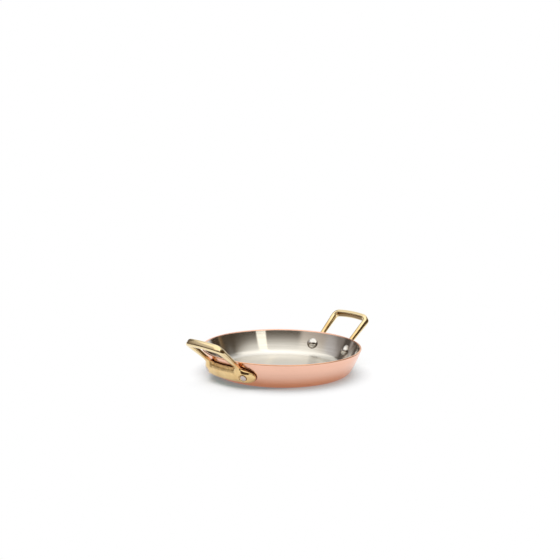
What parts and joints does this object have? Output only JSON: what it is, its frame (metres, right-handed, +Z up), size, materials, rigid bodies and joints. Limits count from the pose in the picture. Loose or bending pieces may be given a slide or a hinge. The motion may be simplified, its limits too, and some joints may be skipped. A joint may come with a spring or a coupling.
{
  "type": "copper baking dish",
  "caption": "Small round baking dish of copper lined with steel, with flared walls, a rounded base corner and cast brass loop handles riveted to opposite sides.",
  "frame": {"origin": "middle of the flat underside, on the surface the dish stands on", "axes": "+Z up out of the dish, +X through the middle of the back handle, -X through the middle of the front handle"},
  "size_m": [0.1632, 0.1194, 0.0354],
  "materials": {
    "copper": "satin polished copper",
    "liner_steel": "brushed stainless steel",
    "brass": "polished cast brass",
    "rivet_steel": "polished stainless steel"
  },
  "bodies": {
    "root": {"copper_shell": "copper", "steel_liner": "liner_steel", "handle_back": "brass", "handle_front": "brass", "rivet_back_left": "rivet_steel", "rivet_back_right": "rivet_steel", "rivet_front_left": "rivet_steel", "rivet_front_right": "rivet_steel"}
  },
  "joints": []
}
